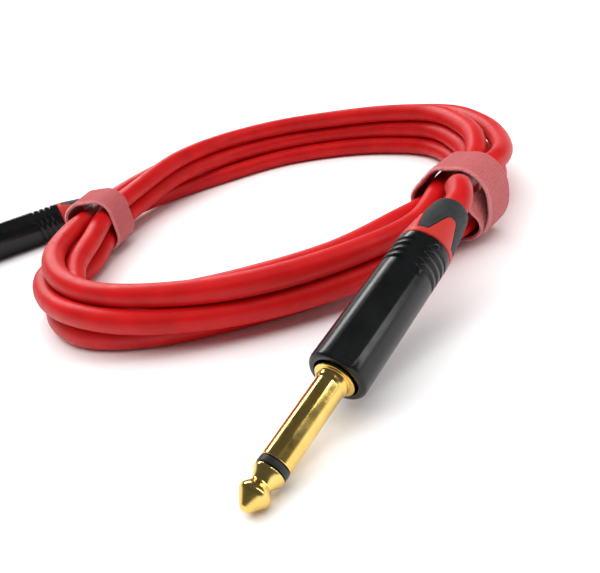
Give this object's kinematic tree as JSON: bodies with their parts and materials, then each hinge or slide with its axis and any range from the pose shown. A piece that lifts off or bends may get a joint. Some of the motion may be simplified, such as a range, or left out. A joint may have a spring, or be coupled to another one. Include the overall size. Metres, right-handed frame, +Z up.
{
  "type": "instrument cable",
  "caption": "Coiled instrument cable with a straight 6.35 mm plug on each end, held round by hook-and-loop ties.",
  "frame": {"origin": "middle of the coiled cable's outline, on the surface that it lies on", "axes": "+Z up from the surface; +X along the longest side of the outline, towards the far side of the coil from plug B; +Y from plug A towards the back of the coil"},
  "size_m": [0.2296, 0.2132, 0.0249],
  "materials": {
    "contact_gold": "gold plate, polished",
    "insulator": "moulded, satin black",
    "board": "pressed laminate",
    "tinned": "tinned",
    "copper_wire": "bare stranded copper",
    "shell_black": "satin black coating on a turned metal shell",
    "inner_plastic": "moulded grey",
    "bushing_red": "moulded red, satin",
    "boot_black": "moulded rubber",
    "jacket_red": "smooth satin jacket",
    "tie_fabric": "woven hook-and-loop tape"
  },
  "bodies": {
    "cable_set": {"plug_a_tip": "contact_gold", "plug_a_tip_insulator": "insulator", "plug_a_sleeve": "contact_gold", "plug_a_rear_insulator": "board", "plug_a_tip_terminal": "tinned", "plug_a_ground_tab": "tinned", "plug_a_core_wire": "copper_wire", "plug_a_shield_wire": "tinned", "plug_a_shell": "shell_black", "plug_a_liner": "inner_plastic", "plug_a_chuck": "inner_plastic", "plug_b_tip": "contact_gold", "plug_b_tip_insulator": "insulator", "plug_b_sleeve": "contact_gold", "plug_b_rear_insulator": "board", "plug_b_tip_terminal": "tinned", "plug_b_ground_tab": "tinned", "plug_b_core_wire": "copper_wire", "plug_b_shield_wire": "tinned", "plug_b_shell": "shell_black", "plug_b_liner": "inner_plastic", "plug_b_chuck": "inner_plastic", "cable_lead_a": "jacket_red", "cable_coil": "jacket_red", "cable_lead_b": "jacket_red", "tie_a": "tie_fabric", "tie_b": "tie_fabric"},
    "plug_a_grip": {"plug_a_bushing": "bushing_red", "plug_a_boot": "boot_black"},
    "plug_b_grip": {"plug_b_bushing": "bushing_red", "plug_b_boot": "boot_black"}
  },
  "joints": [
    {"name": "plug_a_bushing_turn", "type": "hinge", "parent": "cable_set", "child": "plug_a_grip", "pos_m": [0.05847, -0.06179, 0.0153], "axis": [0.6656, 0.7163, 0.2096], "range_deg": [0, 540]},
    {"name": "plug_b_bushing_turn", "type": "hinge", "parent": "cable_set", "child": "plug_b_grip", "pos_m": [-0.05855, 0.06202, 0.00655], "axis": [0.9121, 0.4099, 0], "range_deg": [0, 540]}
  ]
}
